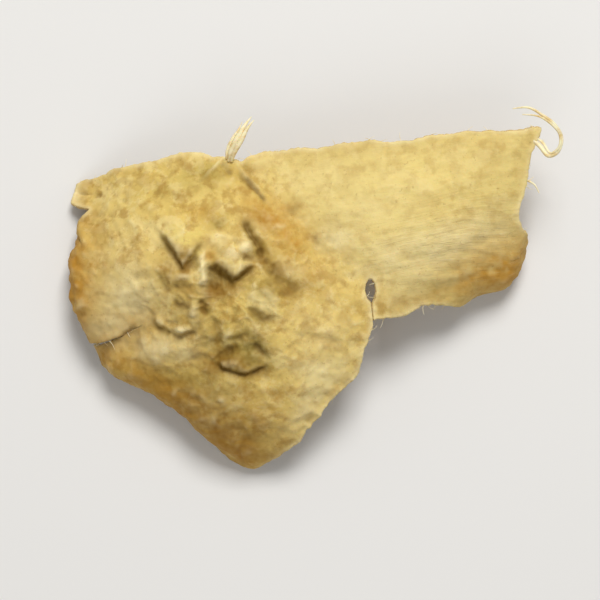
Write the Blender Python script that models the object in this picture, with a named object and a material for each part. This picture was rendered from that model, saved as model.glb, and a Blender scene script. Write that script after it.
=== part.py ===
"""A flake of dried ginger peel, torn from the rounded end of a finger of the root.

The flake grew as one thin sheet, so it is one solid. Its left side is a cap that covered the
finger's end, with the shrunken bud scar near the middle. Its right side is a wing of plain skin
from the finger's flank. Drying has arched the cap, turned parts of its rim under and puckered
the scar. The flake lies on three low points of its rim, skin side up.

The sheet is drawn flat as an outline in plan, filled with triangles, and lifted by a height
surface. Each face of it then gets its own relief along the sheet's normals.
Lengths are in millimetres until the mesh is made.
"""

import math

import bpy
import numpy as np
from mathutils import noise
from mathutils.geometry import delaunay_2d_cdt

MM = 0.001

# The sheet
THICKNESS = 0.64
LEAST_THICKNESS = 0.50
TRIANGLE_SIDE = 0.33
FOLD_SPACING = 0.16
EDGE_BULGE = 0.10
TEAR_BULGE = 0.02
RAGGED_DEPTH = 0.16
RAGGED_LENGTH = 1.1

# How the rim turns under
ROLL_WIDTH = 1.5
FULL_WIDTH_TURN = 45
SPARE_PER_DEGREE = 0.008

# How the flake is set down, so that its three low points meet the surface
TILT_X = 0.0022
TILT_Y = -0.0238
LIFT = 0.035
FOOT_HEIGHT = 0.13

# Outline in plan, clockwise from the tip at the upper left: x, y, degrees that the rim turns
# under there, and whether the edge has a corner
OUTLINE = [
    (-9.50, 4.90, 0, True),
    (-8.20, 5.30, 0, False),
    (-6.60, 5.68, 0, False),
    (-5.05, 5.98, 0, False),
    (-3.70, 6.00, 0, False),
    (-2.45, 5.80, 0, True),
    (-1.80, 6.10, 0, False),
    (0.40, 6.32, 0, False),
    (3.50, 6.55, 0, False),
    (6.60, 6.88, 0, False),
    (9.90, 7.10, 0, True),
    (9.55, 5.90, 0, False),
    (9.20, 4.40, 0, False),
    (9.10, 3.10, 10, False),
    (9.50, 2.20, 40, False),
    (9.55, 1.20, 70, False),
    (8.80, 0.35, 70, False),
    (7.40, 0.00, 40, False),
    (6.00, -0.18, 10, False),
    (5.10, -0.22, 0, False),
    (4.30, -0.62, 0, False),
    (3.00, -0.90, 0, True),
    (2.60, -2.20, 0, False),
    (2.05, -3.45, 0, False),
    (1.30, -4.25, 0, False),
    (0.40, -5.25, 0, False),
    (-0.70, -6.20, 10, False),
    (-1.90, -7.10, 30, False),
    (-2.90, -6.80, 50, False),
    (-4.20, -5.85, 70, False),
    (-5.40, -4.75, 80, False),
    (-6.80, -3.90, 80, False),
    (-8.10, -3.20, 70, False),
    (-8.50, -2.30, 60, False),
    (-8.90, -1.55, 70, False),
    (-9.60, -0.60, 90, False),
    (-9.85, 0.60, 95, False),
    (-9.80, 1.80, 90, False),
    (-9.45, 2.90, 60, False),
    (-8.98, 3.66, 15, False),
    (-9.45, 4.05, 0, True),
]

# The tears that run in from the rim, each from one side of its mouth to the other
TEARS = [
    [
        (3.20, -0.85),
        (3.04, -0.30),
        (3.14, 0.25),
        (3.10, 0.70),
        (2.95, 0.92),
        (2.80, 0.70),
        (2.76, 0.25),
        (2.84, -0.30),
        (2.92, -1.05),
    ],
    [(-9.25, -2.40), (-8.20, -1.98), (-7.40, -1.58), (-6.70, -1.10), (-7.50, -1.42), (-9.40, -1.98)],
]

# Height of the middle of the sheet above the surface, where it was set by eye
HEIGHTS = [
    (-2.80, 0.90, 4.30),
    (-4.40, 1.20, 4.25),
    (-1.20, -0.40, 4.20),
    (-9.50, 4.90, 0.36),
    (-7.60, 3.70, 2.50),
    (-9.70, 1.20, 1.95),
    (-8.40, 1.20, 2.85),
    (-7.00, 0.80, 3.50),
    (-5.05, 6.20, 2.60),
    (-2.45, 5.80, 3.00),
    (-5.00, 3.80, 3.70),
    (-1.90, -7.10, 0.62),
    (-2.00, -5.40, 2.20),
    (-2.20, -3.60, 3.30),
    (-6.60, -3.90, 1.65),
    (-5.60, -2.60, 2.60),
    (-8.40, -2.60, 1.70),
    (-7.00, -1.40, 2.70),
    (1.40, -4.20, 2.40),
    (0.50, -2.60, 3.40),
    (3.00, -0.90, 3.20),
    (2.60, -2.20, 2.90),
    (0.60, 1.60, 3.70),
    (0.00, 3.60, 3.60),
    (2.50, 3.00, 3.90),
    (2.00, 6.40, 3.40),
    (5.00, 4.00, 4.00),
    (5.70, 6.80, 3.60),
    (9.90, 7.10, 3.70),
    (8.00, 4.50, 3.60),
    (9.20, 4.00, 3.00),
    (6.80, 2.00, 3.30),
    (5.10, -0.25, 2.60),
    (8.20, 1.60, 2.20),
    (9.40, 1.60, 1.55),
    (8.80, 0.35, 1.15),
    (7.20, 0.00, 1.80),
]

# The bud scar: its middle, and the torn flaps, whose edges are steps in the sheet. The left side
# of each path stands above the right one.
SCAR = (-2.9, 0.2)
LEFT_FLAP = [(-6.15, 3.20), (-5.80, 2.70), (-5.20, 1.88), (-4.78, 1.28), (-4.28, 1.98), (-3.70, 2.70)]
MIDDLE_FLAP = [(-3.85, 1.70), (-3.50, 1.36), (-3.05, 1.04), (-2.76, 0.80), (-2.36, 1.12), (-1.90, 1.62)]
SIDE_CRACK = [(-9.60, -2.30), (-8.30, -1.85), (-7.20, -1.35), (-6.20, -0.95)]
PIT_LIP = [(-3.70, -2.40), (-3.10, -2.80), (-2.30, -3.02), (-1.60, -2.88), (-1.05, -2.45)]
STEPS = [
    # path, rise, how far the raised and the sunken side reach
    (LEFT_FLAP, 0.56, 1.6, 0.9),
    (MIDDLE_FLAP, 0.62, 1.3, 0.9),
    (SIDE_CRACK, 0.34, 1.0, 1.0),
    (PIT_LIP, 0.28, 0.9, 0.8),
]
CREASES = [
    # path, half width, depth
    ([(-2.40, 3.60), (-2.12, 2.88), (-1.65, 2.02), (-1.12, 1.45), (-0.60, 0.87), (0.10, 0.55)], 0.26, 0.55),
    ([(-6.30, -0.95), (-5.30, -1.37), (-4.60, -1.52), (-3.90, -1.05)], 0.20, 0.22),
    ([(-5.40, -0.05), (-4.80, -0.13), (-4.04, -0.35), (-3.90, -0.80)], 0.20, 0.20),
    ([(-2.30, -0.20), (-1.90, -0.55), (-1.26, -0.80), (-0.90, -0.75)], 0.20, 0.20),
    ([(-3.60, -0.60), (-3.40, -1.33), (-3.10, -2.00)], 0.28, 0.20),
    ([(-2.60, 0.10), (-2.70, -0.42), (-2.60, -1.00)], 0.18, 0.12),
    ([(-5.70, 1.60), (-5.60, 0.60), (-4.90, 0.40), (-4.10, 0.55)], 0.26, 0.18),
    ([(-0.30, -1.00), (0.80, -1.40), (1.90, -1.85)], 0.35, 0.12),
]
LUMPS = [
    # x, y, half length, half width, degrees of its length from x, height
    (-2.40, -2.25, 1.30, 0.75, -8, -0.48),
    (-2.00, -2.20, 0.40, 0.35, 0, 0.20),
    (-4.08, 1.05, 0.70, 0.22, -80, 0.30),
    (-2.22, 2.25, 0.45, 0.38, 40, 0.24),
    (-3.50, 2.30, 0.45, 0.40, 0, 0.14),
    (-1.75, 0.30, 1.00, 0.60, -35, 0.20),
    (-4.80, -1.05, 0.40, 0.25, 0, 0.14),
    (-5.65, -0.90, 0.35, 0.25, 0, 0.12),
    (-5.30, -2.00, 1.10, 0.45, 5, 0.16),
    (-0.80, 2.90, 1.20, 0.70, -50, 0.18),
    (-0.20, 1.90, 0.50, 0.50, 0, 0.12),
    (0.10, 3.10, 3.20, 0.80, -44, -0.26),
    (-2.35, 5.30, 0.90, 0.40, -70, -0.16),
]


def noise_at(points, length, seed):
    """Smooth noise from -1 to 1 at plan points, with bumps about one length apart."""
    return np.array([noise.noise((x / length, y / length, seed)) for x, y in points])


def smooth_step(value, low, high):
    """0 below low, 1 above high, and a smooth rise between."""
    t = np.clip((value - low) / (high - low), 0, 1)
    return t * t * (3 - 2 * t)


def catmull_rom(before, start, end, after, steps):
    """Points from start up to, but not including, end on a curve that passes through both."""
    t = np.linspace(0, 1, steps, endpoint=False)[:, None]
    doubled = (
        2 * start
        + (end - before) * t
        + (2 * before - 5 * start + 4 * end - after) * t**2
        + (3 * start - before - 3 * end + after) * t**3
    )
    return doubled / 2


def outline_curve(side):
    """The outline as closely spaced rows of x, y and turn, with its corners kept."""
    table = np.array([row[:3] for row in OUTLINE], float)
    corner = [row[3] for row in OUTLINE]
    count = len(table)
    rows = []
    for i in range(count):
        start, end = table[i], table[(i + 1) % count]
        before = start if corner[i] else table[i - 1]
        after = end if corner[(i + 1) % count] else table[(i + 2) % count]
        steps = max(1, round(np.linalg.norm((end - start)[:2]) / side))
        rows.append(catmull_rom(before, start, end, after, steps))
    return np.concatenate(rows)


def outward(loop):
    """Unit vectors that point out of a clockwise loop of plan points."""
    along = np.roll(loop, -1, axis=0) - np.roll(loop, 1, axis=0)
    across = np.stack([-along[:, 1], along[:, 0]], axis=1)
    return across / np.linalg.norm(across, axis=1)[:, None]


def sheet_rim(side):
    """The flat sheet's rim without its tears, and the turn there: the outline, a little ragged,
    with spare width where the rim will turn under."""
    curve = outline_curve(side)
    plan, turn = curve[:, :2], curve[:, 2]
    ragged = RAGGED_DEPTH * noise_at(plan, RAGGED_LENGTH, 3.7)
    return plan + outward(plan) * (SPARE_PER_DEGREE * turn + ragged)[:, None], turn


def cut_tears(rim, side):
    """The sheet's whole edge: the rim, with each tear's two sides in place of its mouth."""
    edge = rim
    for tear in TEARS:
        tear = np.array(tear)
        first = np.linalg.norm(edge - tear[0], axis=1).argmin()
        last = np.linalg.norm(edge - tear[-1], axis=1).argmin()
        tear[0], tear[-1] = edge[first], edge[last]
        sides = [
            np.linspace(a, b, max(1, round(np.linalg.norm(b - a) / side)), endpoint=False)
            for a, b in zip(tear[:-1], tear[1:])
        ]
        edge = np.concatenate([edge[:first], *sides, edge[last:]])
    return edge


def is_inside(points, loop):
    """Which plan points a loop goes round."""
    following = np.roll(loop, -1, axis=0)
    x, y = points[:, :1], points[:, 1:]
    spans = (loop[:, 1] > y) != (following[:, 1] > y)
    rise = following[:, 1] - loop[:, 1]
    rise = np.where(rise == 0, 1, rise)
    crossing = loop[:, 0] + (y - loop[:, 1]) * (following[:, 0] - loop[:, 0]) / rise
    return (spans & (x < crossing)).sum(axis=1) % 2 == 1


def rim_of(points, rim, turn):
    """For each plan point, its distance from the rim, the way out, and the rim's turn there."""
    out = outward(rim)
    out_next, turn_next = np.roll(out, -1, axis=0), np.roll(turn, -1)
    run = np.roll(rim, -1, axis=0) - rim
    run_squared = (run**2).sum(axis=1)
    distance, ways, turns = [], [], []
    for chunk in np.array_split(points, max(1, len(points) // 400)):
        offset = chunk[:, None] - rim[None]
        t = np.clip((offset * run).sum(axis=2) / run_squared, 0, 1)
        gap = offset - t[:, :, None] * run
        near = (gap**2).sum(axis=2).argmin(axis=1)
        rows = np.arange(len(chunk))
        t, gap = t[rows, near], gap[rows, near]
        way = out[near] * (1 - t)[:, None] + out_next[near] * t[:, None]
        ways.append(way / np.linalg.norm(way, axis=1)[:, None])
        distance.append(np.linalg.norm(gap, axis=1))
        turns.append(turn[near] * (1 - t) + turn_next[near] * t)
    return np.concatenate(distance), np.concatenate(ways), np.concatenate(turns)


def grid_rows(low, high, side):
    """Plan points one side apart, in rows that are shifted so that they make even triangles."""
    rows = []
    for j, y in enumerate(np.arange(low[1], high[1], side * math.sqrt(0.75))):
        x = np.arange(low[0] + (j % 2) * side / 2, high[0], side)
        rows.append(np.stack([x, np.full_like(x, y)], axis=1))
    return np.concatenate(rows)


def rows_beside(path, side, offsets):
    """Rows of plan points that run beside a path, so that a fold there gets a clean shape."""
    path = np.array(path, float)
    rows = []
    for start, end in zip(path[:-1], path[1:]):
        run = end - start
        length = np.linalg.norm(run)
        left = np.array([-run[1], run[0]]) / length
        line = np.linspace(start, end, max(2, round(length / side)))
        rows += [line + left * offset for offset in offsets]
    return np.concatenate(rows)


def thinned(points, least):
    """The points in order, without those closer than the least distance to one already kept."""
    kept = []
    for point in points:
        if not kept or np.linalg.norm(np.array(kept) - point, axis=1).min() >= least:
            kept.append(point)
    return np.array(kept)


def fold_points(side):
    """Points along the sharp folds of the skin."""
    rows = [rows_beside(path, side, (-FOLD_SPACING / 2, FOLD_SPACING / 2)) for path, *_ in STEPS]
    rows += [rows_beside(path, side, (0, -FOLD_SPACING, FOLD_SPACING)) for path, *_ in CREASES]
    return thinned(np.concatenate(rows), 0.8 * FOLD_SPACING)


def fill(edge, side):
    """Plan points and triangles that fill the edge, with points along the folds."""
    folds, grid = fold_points(side), grid_rows(edge.min(axis=0), edge.max(axis=0), side)
    crowded = np.linalg.norm(grid[:, None] - folds[None], axis=2).min(axis=1) < 0.7 * side
    points = np.concatenate([folds, grid[~crowded]])
    points = points[is_inside(points, edge)]
    distance, _, _ = rim_of(points, edge, np.zeros(len(edge)))
    points = np.concatenate([edge, points[distance > 0.6 * side]])
    count = len(edge)
    ring = [(i, (i + 1) % count) for i in range(count)]
    made = delaunay_2d_cdt([tuple(p) for p in points], ring, [], 1, 1e-6)
    return np.array([tuple(p) for p in made[0]]), np.array(made[2])


def bending(squared):
    """The kernel of a thin plate spline, from squared distances."""
    return squared * np.log(squared + 1e-9)


def height_surface():
    """A function that gives the smooth height through every row of HEIGHTS at plan points."""
    table = np.array(HEIGHTS)
    centres, heights = table[:, :2], table[:, 2]
    count = len(table)
    gaps = ((centres[:, None] - centres[None]) ** 2).sum(axis=2)
    flat = np.concatenate([np.ones((count, 1)), centres], axis=1)
    system = np.block([[bending(gaps), flat], [flat.T, np.zeros((3, 3))]])
    weights = np.linalg.solve(system, np.concatenate([heights, np.zeros(3)]))

    def height(points):
        gaps = ((points[:, None] - centres[None]) ** 2).sum(axis=2)
        level = weights[count] + points @ weights[count + 1 :]
        return bending(gaps) @ weights[:count] + level

    return height


def lay_out(points, rim, turn):
    """Places plan points in space on the middle of the sheet, with its rim turned under."""
    height = height_surface()
    distance, way, degrees = rim_of(points, rim, turn)
    width = np.maximum(ROLL_WIDTH * smooth_step(degrees, 0, FULL_WIDTH_TURN), 1e-6)
    past = np.clip(width - distance, 0, None)
    base = points - way * past[:, None]
    small = 0.01
    level = height(base)
    slope_x = (height(base + (small, 0)) - level) / small
    slope_y = (height(base + (0, small)) - level) / small
    along = np.column_stack([way, slope_x * way[:, 0] + slope_y * way[:, 1]])
    normal = np.column_stack([-slope_x, -slope_y, np.ones(len(points))])
    normal /= np.linalg.norm(normal, axis=1)[:, None]
    normal *= np.linalg.norm(along, axis=1)[:, None]
    angle = np.maximum(np.radians(degrees) * past / width, 1e-6)
    forward, down = np.sin(angle) / angle, (1 - np.cos(angle)) / angle
    turned = along * (forward * past)[:, None] - normal * (down * past)[:, None]
    return np.column_stack([base, level]) + turned


def near_path(points, path):
    """Distance to a chain of straight lines, less than 0 on its right, and how far along it."""
    path = np.array(path, float)
    run = path[1:] - path[:-1]
    length = np.linalg.norm(run, axis=1)
    left = np.stack([-run[:, 1], run[:, 0]], axis=1) / length[:, None]
    start = np.concatenate([[0], np.cumsum(length)])
    offset = points[:, None] - path[None, :-1]
    t = np.clip((offset * run).sum(axis=2) / length**2, 0, 1)
    gap = offset - t[:, :, None] * run
    near = (gap**2).sum(axis=2).argmin(axis=1)
    rows = np.arange(len(points))
    t, gap = t[rows, near], gap[rows, near]
    last = len(run) - 1
    beside = np.where(t >= 1, np.minimum(near + 1, last), near)
    beside = np.where(t <= 0, np.maximum(near - 1, 0), beside)
    side = (gap * (left[near] + left[beside])).sum(axis=1)
    along = (start[near] + t * length[near]) / start[-1]
    return np.linalg.norm(gap, axis=1) * np.where(side < 0, -1, 1), along


def fade_at_ends(along, share):
    """1 in the middle of a path, falling to 0 over a share of it at each end."""
    return smooth_step(along, 0, share) * smooth_step(1 - along, 0, share)


def step_relief(points, soft):
    """The steps in the sheet, each fading out away from its path."""
    total = np.zeros(len(points))
    for path, rise, reach_up, reach_down in STEPS:
        gap, along = near_path(points, path)
        fall = np.where(gap > 0, np.exp(-gap / reach_up), np.exp(gap / reach_down))
        total += rise / 2 * np.tanh(gap / math.hypot(0.08, soft)) * fall * fade_at_ends(along, 0.15)
    return total


def crease_relief(points, soft):
    """The creases of the skin, as grooves along their paths."""
    total = np.zeros(len(points))
    for path, width, depth in CREASES:
        gap, along = near_path(points, path)
        wide = math.hypot(width, soft)
        total -= depth * width / wide * np.exp(-((gap / wide) ** 2)) * fade_at_ends(along, 0.2)
    return total


def lump_relief(points, soft):
    """The lumps and hollows of the skin, as long round mounds."""
    total = np.zeros(len(points))
    for x, y, long, short, degrees, rise in LUMPS:
        turn = math.radians(degrees)
        away = points - (x, y)
        lengthwise = (away @ (math.cos(turn), math.sin(turn))) / math.hypot(long, soft)
        across = (away @ (-math.sin(turn), math.cos(turn))) / math.hypot(short, soft)
        share = long * short / (math.hypot(long, soft) * math.hypot(short, soft))
        total += rise * share * np.exp(-(lengthwise**2) - across**2)
    return total


def shrinkage(points):
    """Shallow random unevenness: folds that point at the scar, waves on the wing, and dents."""
    spoke = points - SCAR
    radius = np.linalg.norm(spoke, axis=1)
    ring = spoke / (radius[:, None] + 0.3)
    folds = noise_at(ring, 0.42, 1.3) * np.exp(-(((radius - 3.2) / 1.8) ** 2))
    waves = noise_at(points * (0.35, 1.0), 1.5, 6.1) * smooth_step(points[:, 0], 0.5, 3.0)
    dents = noise_at(points, 2.4, 9.2)
    wrinkles = noise_at(points * (0.45, 1.0), 0.85, 2.2)
    return 0.26 * folds + 0.16 * waves + 0.14 * dents + 0.08 * wrinkles


def relief(points, soft):
    """Height of the skin's relief above the smooth sheet, with its details blurred by soft."""
    details = step_relief(points, soft) + crease_relief(points, soft) + lump_relief(points, soft)
    return details + shrinkage(points)


def flesh(points):
    """How far the ribs and lumps of dried flesh stand out of the underside."""
    ribs = noise_at(points * (0.5, 1.0), 1.4, 4.4)
    lumps = noise_at(points, 1.3, 8.8)
    middle = np.exp(-((np.linalg.norm(points - SCAR, axis=1) / 4.5) ** 2))
    return 0.10 * ribs + middle * (0.14 + 0.16 * lumps)


def vertex_normals(points, triangles):
    """Unit normals of the laid-out sheet at its points."""
    corners = points[triangles]
    face = np.cross(corners[:, 1] - corners[:, 0], corners[:, 2] - corners[:, 0])
    normal = np.zeros_like(points)
    for k in range(3):
        np.add.at(normal, triangles[:, k], face)
    return normal / np.linalg.norm(normal, axis=1)[:, None]


def boundary_loop(triangles):
    """The sheet's edge points in order, walking with the sheet on the left."""
    edges = {(a, b) for tri in triangles.tolist() for a, b in zip(tri, tri[1:] + tri[:1])}
    following = {a: b for a, b in edges if (b, a) not in edges}
    loop = [min(following)]
    while following[loop[-1]] != loop[0]:
        loop.append(following[loop[-1]])
    return np.array(loop)


def edge_row(middle, top, bottom, normal, loop, bulge):
    """The row of points half way down the sheet's cut edge, a little outside it."""
    along = np.roll(middle[loop], -1, axis=0) - np.roll(middle[loop], 1, axis=0)
    out = np.cross(along, normal[loop])
    out /= np.linalg.norm(out, axis=1)[:, None]
    return (top[loop] + bottom[loop]) / 2 + out * bulge[:, None]


def set_down(points):
    """Tilts and lowers the flake onto the surface, with small flat spots where it touches."""
    placed = points.copy()
    placed[:, 2] += points[:, 0] * TILT_X + points[:, 1] * TILT_Y + LIFT
    placed[placed[:, 2] < FOOT_HEIGHT, 2] = 0
    return placed


def peel_shape():
    """All points and faces of the closed flake."""
    rim, turn = sheet_rim(TRIANGLE_SIDE)
    plan, triangles = fill(cut_tears(rim, TRIANGLE_SIDE), TRIANGLE_SIDE)
    middle = lay_out(plan, rim, turn)
    normal = vertex_normals(middle, triangles)
    above = THICKNESS / 2 + relief(plan, 0.08)
    below = relief(plan, 0.60) - THICKNESS / 2 - flesh(plan)
    spare = (above - below - LEAST_THICKNESS) / 0.08
    below = above - LEAST_THICKNESS - 0.08 * np.logaddexp(0, spare)
    top = middle + normal * above[:, None]
    bottom = middle + normal * below[:, None]

    loop = boundary_loop(triangles)
    distance, _, _ = rim_of(plan[loop], rim, turn)
    bulge = np.where(distance > 0.05, TEAR_BULGE, EDGE_BULGE)
    edge = edge_row(middle, top, bottom, normal, loop, bulge)

    count, ring = len(plan), len(loop)
    faces = triangles.tolist() + (triangles[:, ::-1] + count).tolist()
    for i in range(ring):
        j = (i + 1) % ring
        a, b, c, d = loop[i], loop[j], 2 * count + i, 2 * count + j
        faces += [(a, c, b), (b, c, d), (a + count, b + count, c), (b + count, d, c)]
    return set_down(np.concatenate([top, bottom, edge])), faces


def peel_material():
    """Dry golden-brown skin."""
    made = bpy.data.materials.new("dry_peel")
    made.use_nodes = True
    shader = made.node_tree.nodes["Principled BSDF"]
    shader.inputs["Base Color"].default_value = (0.56, 0.39, 0.13, 1)
    shader.inputs["Roughness"].default_value = 0.72
    shader.inputs["Metallic"].default_value = 0.0
    return made


def main():
    for obj in list(bpy.data.objects):
        bpy.data.objects.remove(obj)
    points, faces = peel_shape()
    mesh = bpy.data.meshes.new("ginger_peel")
    mesh.from_pydata((points * MM).tolist(), [], faces)
    mesh.materials.append(peel_material())
    mesh.shade_smooth()
    mesh.validate()
    peel = bpy.data.objects.new("ginger_peel", mesh)
    bpy.context.scene.collection.objects.link(peel)


main()
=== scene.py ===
"""Looks of the dried ginger peel: one flake of dry skin from the rounded end of a finger of ginger.

The flake is made again from the measures of its solid as a much finer mesh. It gets the real
sheet's thinness, ragged torn edges, the fine wrinkles of the skin and the ribs of dried flesh
on its inner side. Fibres stand out of its torn edge. Measures are in millimetres until a mesh
is made, and a plan point is x and y seen from above.
"""

import math
from collections import namedtuple

import bpy
import numpy as np
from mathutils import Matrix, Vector, kdtree, noise
from mathutils.geometry import delaunay_2d_cdt

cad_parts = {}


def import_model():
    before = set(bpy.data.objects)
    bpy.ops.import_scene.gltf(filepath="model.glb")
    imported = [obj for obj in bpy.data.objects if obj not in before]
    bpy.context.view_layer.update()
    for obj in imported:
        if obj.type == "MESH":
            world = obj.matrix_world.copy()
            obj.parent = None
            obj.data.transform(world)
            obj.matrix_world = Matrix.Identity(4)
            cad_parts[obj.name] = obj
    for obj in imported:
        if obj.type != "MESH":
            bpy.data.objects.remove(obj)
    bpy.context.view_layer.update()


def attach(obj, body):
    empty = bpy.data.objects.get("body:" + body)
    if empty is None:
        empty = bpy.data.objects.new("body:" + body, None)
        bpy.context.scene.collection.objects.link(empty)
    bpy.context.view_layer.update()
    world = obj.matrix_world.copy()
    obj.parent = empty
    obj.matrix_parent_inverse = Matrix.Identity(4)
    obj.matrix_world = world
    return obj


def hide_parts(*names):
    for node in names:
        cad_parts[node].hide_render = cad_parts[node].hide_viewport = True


MM = 0.001
NODE = "ginger_peel"

# The sheet
SKIN_MESH_SIDE = 0.075
SCAR_MESH_SIDE = 0.052
SCAR_REACH = 3.9
INNER_MESH_SIDE = 0.095
EDGE_CLEARANCE = 0.6 * SKIN_MESH_SIDE
RIM_SIDE = 0.33
EDGE_THICKNESS = 0.22
MIDDLE_THICKNESS = 0.42
THINNING_WIDTH = 1.6
LEAST_THICKNESS = 0.15
EDGE_ROWS = 3
RAGGED = [(0.16, 1.1, 3.7), (0.06, 0.42, 5.1), (0.045, 0.16, 7.9)]

# How the rim turns under
ROLL_WIDTH = 1.5
FULL_WIDTH_TURN = 45
SPARE_PER_DEGREE = 0.008
MOST_TURN = 1.2

# The relief: how wide a torn lip is, how much each side of the sheet blurs the folds, and how
# many times a height is blurred to find what is hollow
LIP_WIDTH = 0.08
SKIN_BLUR = 0.04
INNER_BLUR = 0.45
HOLLOW_ROUNDS = 70

# How the flake is set down, so that its three low points meet the surface
TILT_X = 0.0092
TILT_Y = -0.0294
LIFT = -0.021

# The corner of the notch at the upper left, and how far from it the edge stays smooth
LEFT_NOTCH = (-8.84, 3.8)
NOTCH_CALM = 0.9

# The wing begins at the upper notch: the way into it, and how far its fibres turn from x
UPPER_NOTCH = (-2.45, 5.8)
WING_WAY = (0.7, 0.71)
FIBRE_DEGREES = 9

# Outline in plan, clockwise from the tip at the upper left: x, y, and how many degrees the rim
# turns under there. At its corners the edge isn't smooth.
OUTLINE = [
    (-9.5, 4.9, 0), (-8.2, 5.3, 0), (-6.6, 5.68, 0), (-5.05, 5.98, 0), (-3.7, 6.0, 0), (*UPPER_NOTCH, 0),
    (-1.8, 6.1, 0), (0.4, 6.32, 0), (3.5, 6.55, 0), (6.6, 6.88, 0), (9.9, 7.1, 0), (9.55, 5.9, 0),
    (9.2, 4.4, 0), (9.1, 3.1, 10), (9.5, 2.2, 40), (9.55, 1.2, 70), (8.8, 0.35, 70), (7.4, 0.0, 40),
    (6.0, -0.18, 10), (5.1, -0.22, 0), (4.3, -0.62, 0), (3.0, -0.9, 0), (2.6, -2.2, 0), (2.05, -3.45, 0),
    (1.3, -4.25, 0), (0.4, -5.25, 0), (-0.7, -6.2, 10), (-1.9, -7.1, 30), (-2.9, -6.8, 50),
    (-4.2, -5.85, 70), (-5.4, -4.75, 80), (-6.8, -3.9, 80), (-8.1, -3.2, 70), (-8.5, -2.3, 60),
    (-8.9, -1.55, 70), (-9.6, -0.6, 90), (-9.85, 0.6, 95), (-9.8, 1.8, 90), (-9.5, 2.86, 58),
    (-9.18, 3.36, 22), (*LEFT_NOTCH, 0), (-9.6, 4.06, 0),
]
CORNERS = [(-9.5, 4.9), UPPER_NOTCH, (9.9, 7.1), (3.0, -0.9), LEFT_NOTCH, (-9.6, 4.06)]

# The tears that run in from the rim, each from one side of its mouth to the other
HOLED_TEAR = [
    (3.06, -0.86), (2.99, -0.45), (2.99, -0.12), (3.1, 0.08), (3.15, 0.38), (3.1, 0.7), (2.98, 0.9),
    (2.85, 0.9), (2.71, 0.68), (2.67, 0.38), (2.75, 0.08), (2.91, -0.12), (2.93, -0.45), (2.95, -1.0),
]
RIM_CRACK = [(-9.25, -2.34), (-8.2, -1.9), (-7.4, -1.53), (-6.5, -1.02), (-7.45, -1.44), (-9.4, -2.08)]
TEARS = [HOLED_TEAR, RIM_CRACK]

# Height of the middle of the sheet above the surface
HEIGHTS = [
    (-2.8, 0.9, 4.3), (-4.4, 1.2, 4.25), (-1.2, -0.4, 4.2), (-9.5, 4.9, 0.36), (-7.6, 3.7, 2.5),
    (-9.7, 1.2, 1.95), (-8.4, 1.2, 2.85), (-7.0, 0.8, 3.5), (-5.05, 6.2, 2.6), (-2.45, 5.8, 3.0),
    (-5.0, 3.8, 3.7), (-1.9, -7.1, 0.62), (-2.0, -5.4, 2.2), (-2.2, -3.6, 3.3), (-6.6, -3.9, 1.65),
    (-5.6, -2.6, 2.6), (-8.4, -2.6, 1.7), (-7.0, -1.4, 2.7), (1.4, -4.2, 2.4), (0.5, -2.6, 3.4),
    (3.0, -0.9, 3.2), (2.6, -2.2, 2.9), (0.6, 1.6, 3.7), (0.0, 3.6, 3.6), (2.5, 3.0, 3.9),
    (2.0, 6.4, 3.4), (5.0, 4.0, 4.0), (5.7, 6.8, 3.6), (9.9, 7.1, 3.7), (8.0, 4.5, 3.6),
    (9.2, 4.0, 3.0), (6.8, 2.0, 3.3), (5.1, -0.25, 2.6), (8.2, 1.6, 2.2), (9.4, 1.6, 1.55),
    (8.8, 0.35, 1.15), (7.2, 0.0, 1.8),
]

# The bud scar: its middle, and the torn flaps, whose edges are steps in the sheet. The left side
# of each path stands above the right one.
SCAR = (-2.9, 0.2)
LEFT_FLAP = [
    (-5.92, 2.98), (-5.72, 2.72), (-5.3, 2.18), (-5.02, 1.76),
    (-4.75, 1.34), (-4.5, 1.7), (-4.22, 2.05), (-3.91, 2.42),
]
MIDDLE_FLAP = [
    (-3.75, 1.64), (-3.56, 1.43), (-3.3, 1.26), (-3.05, 1.1),
    (-2.78, 0.86), (-2.46, 1.04), (-2.12, 1.26), (-1.88, 1.55),
]
SIDE_CRACK = [(-9.6, -2.3), (-8.57, -1.97), (-8.06, -1.77), (-7.47, -1.47), (-7.03, -1.1), (-6.5, -0.8)]
PIT_LIP = [(-3.66, -2.43), (-3.14, -2.79), (-2.63, -2.95), (-2.12, -3.01), (-1.6, -2.88), (-1.15, -2.55)]
STEPS = [
    # path, rise, how far the raised and the sunken side reach
    (LEFT_FLAP, 0.46, 1.6, 0.7),
    (MIDDLE_FLAP, 0.54, 1.3, 0.7),
    (SIDE_CRACK, 0.34, 1.0, 1.0),
    (PIT_LIP, 0.24, 0.8, 0.6),
]
UPPER_CREASE = [(-2.28, 3.44), (-2.21, 3.02), (-2.06, 2.64), (-1.8, 2.26), (-1.42, 1.66)]
LONG_CREASE = [(-1.95, 2.3), (-1.38, 1.48), (-0.82, 0.84), (-0.28, 0.54), (0.3, 0.1)]
EYE_TOP = [(-5.35, -0.08), (-4.98, -0.22), (-4.45, -0.25)]
EYE_SIDE = [(-4.16, 0.1), (-3.95, -0.3), (-3.8, -0.7)]
EYE_BOTTOM = [(-6.35, -0.6), (-5.9, -1.08), (-5.4, -1.36), (-4.9, -1.48), (-4.34, -1.27), (-3.85, -0.95)]
BROW = [(-5.64, 1.4), (-5.66, 0.9), (-5.42, 0.5), (-4.98, 0.52), (-4.36, 0.64)]
MIDDLE_LINE = [(-2.72, -0.2), (-2.67, -0.59), (-2.58, -1.0)]
RIGHT_FOLD = [(-2.2, -0.2), (-1.85, -0.55), (-1.45, -0.76), (-1.0, -0.7)]
PIT_ARCH = [(-2.86, -1.95), (-2.66, -1.62), (-2.32, -1.48), (-1.95, -1.68), (-1.66, -2.15), (-1.28, -2.62)]
PIT_SIDE = [(-3.6, -2.45), (-3.1, -2.2), (-2.7, -2.0), (-2.45, -1.8)]
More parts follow.
